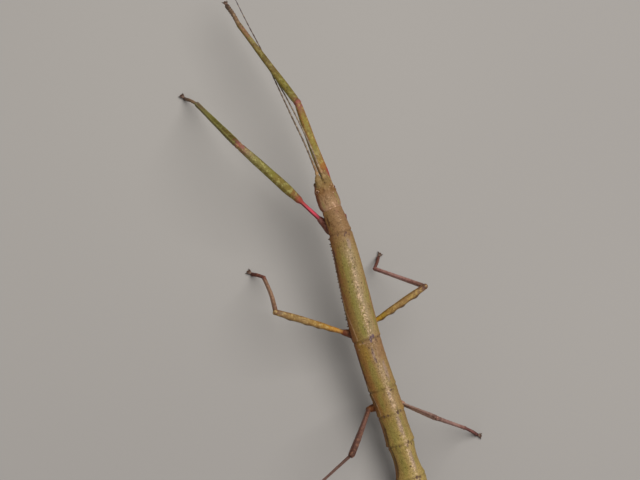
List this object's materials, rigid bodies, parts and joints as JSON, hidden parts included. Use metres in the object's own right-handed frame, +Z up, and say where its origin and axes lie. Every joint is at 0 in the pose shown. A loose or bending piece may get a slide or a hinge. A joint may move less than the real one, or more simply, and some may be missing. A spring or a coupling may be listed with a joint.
{
  "type": "stick insect",
  "caption": "Life-size still model of a wingless stick insect, standing with its thin body raised towards the head, a foreleg held off the floor and its feelers stretched forward.",
  "frame": {"origin": "on the floor, at the middle of the footprint of the whole insect", "axes": "+Z up, -Y towards the head and feelers, +Y towards the tail, +X towards the insect's left"},
  "size_m": [0.0364, 0.1208, 0.0157],
  "materials": {
    "shell": "matte, finely grained, olive with darker speckles",
    "dark_shell": "matte, dark brown",
    "fore_leg": "satin, yellow-green",
    "mid_leg": "satin, ochre to olive",
    "hind_leg": "satin, grey-brown",
    "foot": "matte, brown",
    "feeler": "matte, brown with darker rings",
    "claw": "glossy, nearly black",
    "eye": "glossy, straw with a dark middle"
  },
  "bodies": {
    "root": {"abdomen_10": "shell", "abdomen_2": "shell", "abdomen_3": "shell", "abdomen_4": "shell", "abdomen_5": "shell", "abdomen_6": "shell", "abdomen_7": "shell", "abdomen_8": "shell", "abdomen_9": "shell", "antenna_base_left": "shell", "antenna_base_right": "shell", "antenna_left": "feeler", "antenna_right": "feeler", "cercus_left": "shell", "cercus_right": "shell", "claws_fore_left": "claw", "claws_fore_right": "claw", "claws_hind_left": "claw", "claws_hind_right": "claw", "claws_mid_left": "claw", "claws_mid_right": "claw", "coxa_fore_left": "dark_shell", "coxa_fore_right": "dark_shell", "coxa_hind_left": "dark_shell", "coxa_hind_right": "dark_shell", "coxa_mid_left": "dark_shell", "coxa_mid_right": "dark_shell", "eye_left": "eye", "eye_right": "eye", "femur_fore_left": "fore_leg", "femur_fore_right": "fore_leg", "femur_hind_left": "hind_leg", "femur_hind_right": "hind_leg", "femur_mid_left": "mid_leg", "femur_mid_right": "mid_leg", "head": "shell", "median_segment": "shell", "mesothorax": "shell", "metathorax": "shell", "mouthparts": "dark_shell", "pronotum": "shell", "subgenital_plate": "dark_shell", "tarsus_fore_left": "foot", "tarsus_fore_right": "foot", "tarsus_hind_left": "foot", "tarsus_hind_right": "foot", "tarsus_mid_left": "foot", "tarsus_mid_right": "foot", "tibia_fore_left": "fore_leg", "tibia_fore_right": "fore_leg", "tibia_hind_left": "hind_leg", "tibia_hind_right": "hind_leg", "tibia_mid_left": "mid_leg", "tibia_mid_right": "mid_leg"}
  },
  "joints": []
}
